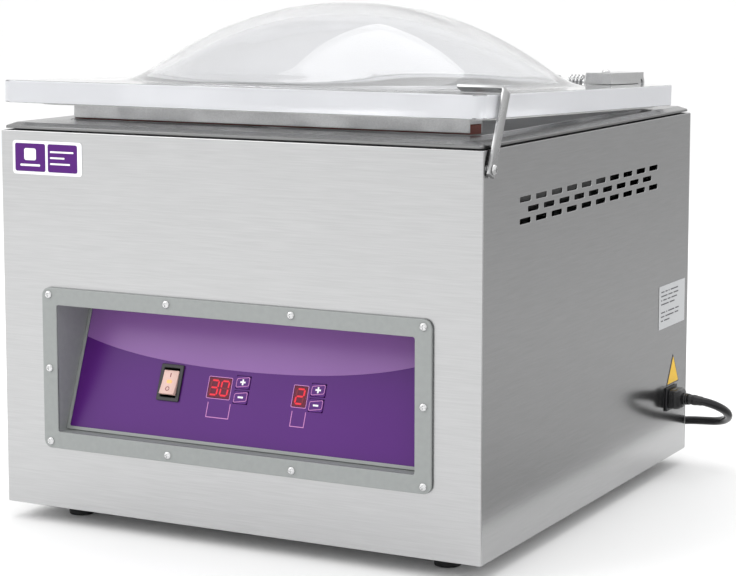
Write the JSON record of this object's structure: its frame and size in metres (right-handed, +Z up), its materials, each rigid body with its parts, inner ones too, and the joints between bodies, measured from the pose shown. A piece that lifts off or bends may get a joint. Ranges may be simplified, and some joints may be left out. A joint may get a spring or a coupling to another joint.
{
  "type": "vacuum packing machine",
  "caption": "Table-top chamber vacuum packer: brushed steel casing, clear domed lid on rear hinges, recessed purple control panel, hold-down hook and mains lead.",
  "frame": {"origin": "on the table, under the centre of the machine's bounding box, measured without the mains cord", "axes": "+Z up, -Y out of the control panel, +X towards the operator's right"},
  "size_m": [0.5464, 0.6455, 0.4822],
  "materials": {
    "brushed_steel": "horizontally brushed stainless sheet",
    "dark_steel": "zinc-plated steel, dull",
    "aluminium": "satin aluminium",
    "bright_metal": "bright zinc-plated or stainless steel",
    "clear_acrylic": "clear cast acrylic, polished",
    "grey_plastic": "moulded, fine matt grain",
    "purple_panel": "purple printed film with a paler sweep across the top",
    "pale_key": "purple film with a pale outline",
    "black_plastic": "black moulded plastic",
    "white_plastic": "milky translucent plastic with an amber glow",
    "red_window": "dark red filter window",
    "black_rubber": "black rubber or PVC",
    "red_silicone": "red-brown silicone",
    "grey_silicone": "pale grey silicone",
    "circuit_green": "green circuit board",
    "pump_paint": "grey-blue paint"
  },
  "bodies": {
    "casing": {"front_panel": "brushed_steel", "side_panel_left": "brushed_steel", "side_panel_right": "brushed_steel", "rear_cover": "brushed_steel", "top_deck": "brushed_steel", "vacuum_chamber": "brushed_steel", "base_tray": "dark_steel", "hinge_bracket_left": "dark_steel", "hinge_bracket_right": "dark_steel", "solenoid_valve": "dark_steel", "transformer": "dark_steel", "seal_lift_left": "aluminium", "seal_lift_right": "aluminium", "pump_motor": "aluminium", "bezel_screw_01": "bright_metal", "bezel_screw_02": "bright_metal", "bezel_screw_03": "bright_metal", "bezel_screw_04": "bright_metal", "bezel_screw_05": "bright_metal", "bezel_screw_06": "bright_metal", "bezel_screw_07": "bright_metal", "bezel_screw_08": "bright_metal", "bezel_screw_09": "bright_metal", "bezel_screw_10": "bright_metal", "hinge_pin_left": "bright_metal", "hinge_pin_right": "bright_metal", "lid_spring_left": "bright_metal", "lid_spring_right": "bright_metal", "latch_screw": "bright_metal", "control_bezel": "grey_plastic", "control_overlay": "purple_panel", "switch_housing": "black_plastic", "power_inlet": "black_plastic", "power_connector": "black_plastic", "mains_plug": "black_plastic", "display_vacuum": "red_window", "display_seal": "red_window", "foot_front_left": "black_rubber", "foot_front_right": "black_rubber", "foot_rear_left": "black_rubber", "foot_rear_right": "black_rubber", "mains_cable": "black_rubber", "mains_coil": "black_rubber", "suction_hose": "black_rubber", "control_board": "circuit_green", "vacuum_pump": "pump_paint"},
    "lid": {"lid_dome": "clear_acrylic", "lid_gasket": "grey_silicone", "counter_bar": "aluminium", "counter_bar_silicone": "red_silicone", "hinge_arm_left": "aluminium", "hinge_arm_right": "aluminium"},
    "latch": {"latch_hook": "bright_metal"},
    "rocker": {"switch_rocker": "white_plastic"},
    "key_vacuum_up": {"button_vacuum_up": "pale_key"},
    "key_vacuum_down": {"button_vacuum_down": "pale_key"},
    "key_seal_up": {"button_seal_up": "pale_key"},
    "key_seal_down": {"button_seal_down": "pale_key"},
    "sealing_bar": {"seal_bar": "aluminium"},
    "fan": {"motor_fan": "black_plastic"}
  },
  "joints": [
    {"name": "lid_hinge", "type": "hinge", "parent": "casing", "child": "lid", "pos_m": [-0.00365, 0.23275, 0.397], "axis": [-1, 0, 0], "range_deg": [-1.9, 60], "stiffness_Nm_per_rad": 5.2, "springref_deg": 114.59},
    {"name": "latch_swing", "type": "hinge", "parent": "casing", "child": "latch", "pos_m": [0.24285, -0.24175, 0.351], "axis": [1, 0, 0], "range_deg": [0, 180]},
    {"name": "rocker_tilt", "type": "hinge", "parent": "casing", "child": "rocker", "pos_m": [-0.08415, -0.21879, 0.13706], "axis": [1, 0, 0], "range_deg": [0, 16]},
    {"name": "press_vacuum_up", "type": "slide", "parent": "casing", "child": "key_vacuum_up", "axis": [0, 0.9373, -0.3486], "range_m": [0, 0.0006], "stiffness_N_per_m": 2500},
    {"name": "press_vacuum_down", "type": "slide", "parent": "casing", "child": "key_vacuum_down", "axis": [0, 0.9373, -0.3486], "range_m": [0, 0.0006], "stiffness_N_per_m": 2500},
    {"name": "press_seal_up", "type": "slide", "parent": "casing", "child": "key_seal_up", "axis": [0, 0.9373, -0.3486], "range_m": [0, 0.0006], "stiffness_N_per_m": 2500},
    {"name": "press_seal_down", "type": "slide", "parent": "casing", "child": "key_seal_down", "axis": [0, 0.9373, -0.3486], "range_m": [0, 0.0006], "stiffness_N_per_m": 2500},
    {"name": "seal_bar_lift", "type": "slide", "parent": "casing", "child": "sealing_bar", "axis": [0, 0, 1], "range_m": [0, 0.008]},
    {"name": "fan_spin", "type": "hinge", "parent": "casing", "child": "fan", "pos_m": [-0.13865, 0.17775, 0.0818], "axis": [0, 1, 0], "continuous": true}
  ]
}
